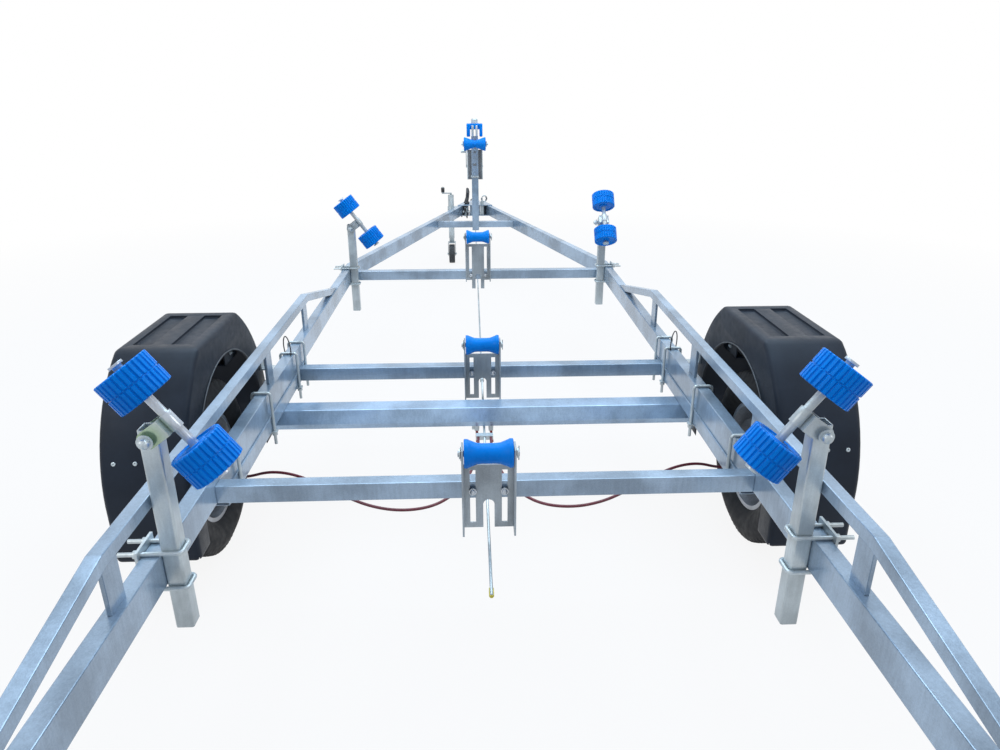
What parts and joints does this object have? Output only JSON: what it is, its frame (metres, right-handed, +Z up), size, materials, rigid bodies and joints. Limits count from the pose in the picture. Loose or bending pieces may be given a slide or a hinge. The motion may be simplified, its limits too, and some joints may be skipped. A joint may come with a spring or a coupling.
{
  "type": "boat trailer",
  "caption": "Single-axle boat trailer: galvanised V-drawbar frame with truss rails, keel and swivelling side rollers, winch post, jockey wheel and fenders.",
  "frame": {"origin": "on the ground, under the middle of the overall length and width", "axes": "+X to the trailer's right, +Y forward towards the coupling, +Z up"},
  "size_m": [2.124, 6.6, 1.219],
  "materials": {
    "galvanised": "hot-dip galvanised, fine spangle",
    "zinc_plate": "bright zinc plate",
    "brake_steel": "bare, dull",
    "rim_steel": "silver paint, satin",
    "tyre": "matt black",
    "blue_roller": "satin bright blue",
    "fender_plastic": "fine-grained charcoal",
    "coupling_paint": "black paint, satin",
    "jockey_rubber": "matt",
    "cable_sheath": "dark red, satin",
    "board_plastic": "red and black, satin"
  },
  "bodies": {
    "frame": {"main_beam_left": "galvanised", "main_beam_right": "galvanised", "drawbar_arms": "galvanised", "rear_crossbeam": "galvanised", "mid_crossbeam": "galvanised", "front_crossbeam": "galvanised", "drawbar_tie": "galvanised", "side_rail_left": "galvanised", "side_rail_right": "galvanised", "axle_rail_left": "galvanised", "axle_rail_right": "galvanised", "axle_tube": "galvanised", "trailing_arms": "galvanised", "winch_post": "galvanised", "winch_frame": "galvanised", "bow_bracket": "galvanised", "light_board_arms": "galvanised", "side_posts": "zinc_plate", "post_clamps": "zinc_plate", "axle_clamps": "zinc_plate", "keel_brackets": "zinc_plate", "fender_brackets": "zinc_plate", "brake_rod": "zinc_plate", "brake_equaliser": "zinc_plate", "jockey_clamp": "zinc_plate", "brake_backplates": "brake_steel", "bow_stop": "blue_roller", "fender_left": "fender_plastic", "fender_right": "fender_plastic", "overrun_box": "coupling_paint", "coupling_head": "coupling_paint", "handbrake_lever": "coupling_paint", "brake_cable_left": "cable_sheath", "brake_cable_right": "cable_sheath", "light_board": "board_plastic"},
    "wheel_left": {"tyre_left": "tyre", "rim_left": "rim_steel", "brake_drum_left": "brake_steel"},
    "wheel_right": {"tyre_right": "tyre", "rim_right": "rim_steel", "brake_drum_right": "brake_steel"},
    "keel_roller_rear": {"keel_roller_rear": "blue_roller"},
    "keel_roller_mid": {"keel_roller_mid": "blue_roller"},
    "keel_roller_front": {"keel_roller_front": "blue_roller"},
    "bow_roller": {"bow_roller": "blue_roller"},
    "winch": {"winch_drum": "zinc_plate", "winch_handle": "zinc_plate"},
    "jockey_tube": {"jockey_outer_tube": "zinc_plate", "jockey_crank": "zinc_plate"},
    "jockey_leg": {"jockey_inner_tube": "zinc_plate"},
    "jockey_caster": {"jockey_fork": "zinc_plate"},
    "jockey_wheel": {"jockey_wheel": "jockey_rubber"},
    "swivel_rear_left": {"swivel_bracket_rear_left": "zinc_plate"},
    "rollers_rear_left": {"side_rollers_rear_left": "blue_roller"},
    "swivel_rear_right": {"swivel_bracket_rear_right": "zinc_plate"},
    "rollers_rear_right": {"side_rollers_rear_right": "blue_roller"},
    "swivel_front_left": {"swivel_bracket_front_left": "zinc_plate"},
    "rollers_front_left": {"side_rollers_front_left": "blue_roller"},
    "swivel_front_right": {"swivel_bracket_front_right": "zinc_plate"},
    "rollers_front_right": {"side_rollers_front_right": "blue_roller"}
  },
  "joints": [
    {"name": "wheel_left_spin", "type": "hinge", "parent": "frame", "child": "wheel_left", "pos_m": [-0.932, -1.425, 0.285], "axis": [1, 0, 0], "continuous": true},
    {"name": "wheel_right_spin", "type": "hinge", "parent": "frame", "child": "wheel_right", "pos_m": [0.932, -1.425, 0.285], "axis": [1, 0, 0], "continuous": true},
    {"name": "keel_roller_rear_spin", "type": "hinge", "parent": "frame", "child": "keel_roller_rear", "pos_m": [0, -1.889, 0.555], "axis": [1, 0, 0], "continuous": true},
    {"name": "keel_roller_mid_spin", "type": "hinge", "parent": "frame", "child": "keel_roller_mid", "pos_m": [0, -0.908, 0.507], "axis": [1, 0, 0], "continuous": true},
    {"name": "keel_roller_front_spin", "type": "hinge", "parent": "frame", "child": "keel_roller_front", "pos_m": [0, 0.491, 0.655], "axis": [1, 0, 0], "continuous": true},
    {"name": "bow_roller_spin", "type": "hinge", "parent": "frame", "child": "bow_roller", "pos_m": [0, 1.985, 1.047], "axis": [1, 0, 0], "continuous": true},
    {"name": "winch_spin", "type": "hinge", "parent": "frame", "child": "winch", "pos_m": [0, 2.172, 0.875], "axis": [1, 0, 0], "continuous": true},
    {"name": "swivel_rear_left", "type": "hinge", "parent": "frame", "child": "swivel_rear_left", "pos_m": [-0.689, -2.18, 0.764], "axis": [0, -1, 0], "range_deg": [-6, 74]},
    {"name": "rollers_rear_left_spin", "type": "hinge", "parent": "swivel_rear_left", "child": "rollers_rear_left", "pos_m": [-0.64531, -2.18, 0.79574], "axis": [0.5878, 0, -0.809], "continuous": true},
    {"name": "swivel_rear_right", "type": "hinge", "parent": "frame", "child": "swivel_rear_right", "pos_m": [0.689, -2.18, 0.748], "axis": [0, 1, 0], "range_deg": [-6, 74]},
    {"name": "rollers_rear_right_spin", "type": "hinge", "parent": "swivel_rear_right", "child": "rollers_rear_right", "pos_m": [0.64531, -2.18, 0.77974], "axis": [-0.5878, 0, -0.809], "continuous": true},
    {"name": "swivel_front_left", "type": "hinge", "parent": "frame", "child": "swivel_front_left", "pos_m": [-0.689, 0.47, 0.714], "axis": [0, -1, 0], "range_deg": [-6, 74]},
    {"name": "rollers_front_left_spin", "type": "hinge", "parent": "swivel_front_left", "child": "rollers_front_left", "pos_m": [-0.64531, 0.47, 0.74574], "axis": [0.5878, 0, -0.809], "continuous": true},
    {"name": "swivel_front_right", "type": "hinge", "parent": "frame", "child": "swivel_front_right", "pos_m": [0.689, 0.47, 0.733], "axis": [-1, 0, 0], "range_deg": [-6, 74]},
    {"name": "rollers_front_right_spin", "type": "hinge", "parent": "swivel_front_right", "child": "rollers_front_right", "pos_m": [0.689, 0.42631, 0.76474], "axis": [0, -0.5878, -0.809], "continuous": true},
    {"name": "jockey_clamp_slide", "type": "slide", "parent": "frame", "child": "jockey_tube", "axis": [0, 0, 1], "range_m": [0, 0.16]},
    {"name": "jockey_wind", "type": "slide", "parent": "jockey_tube", "child": "jockey_leg", "axis": [0, 0, -1], "range_m": [-0.025, 0.15]},
    {"name": "jockey_swivel", "type": "hinge", "parent": "jockey_leg", "child": "jockey_caster", "pos_m": [-0.205, 2.815, 0.178], "axis": [0, 0, 1], "continuous": true},
    {"name": "jockey_wheel_spin", "type": "hinge", "parent": "jockey_caster", "child": "jockey_wheel", "pos_m": [-0.205, 2.775, 0.08], "axis": [1, 0, 0], "continuous": true}
  ]
}
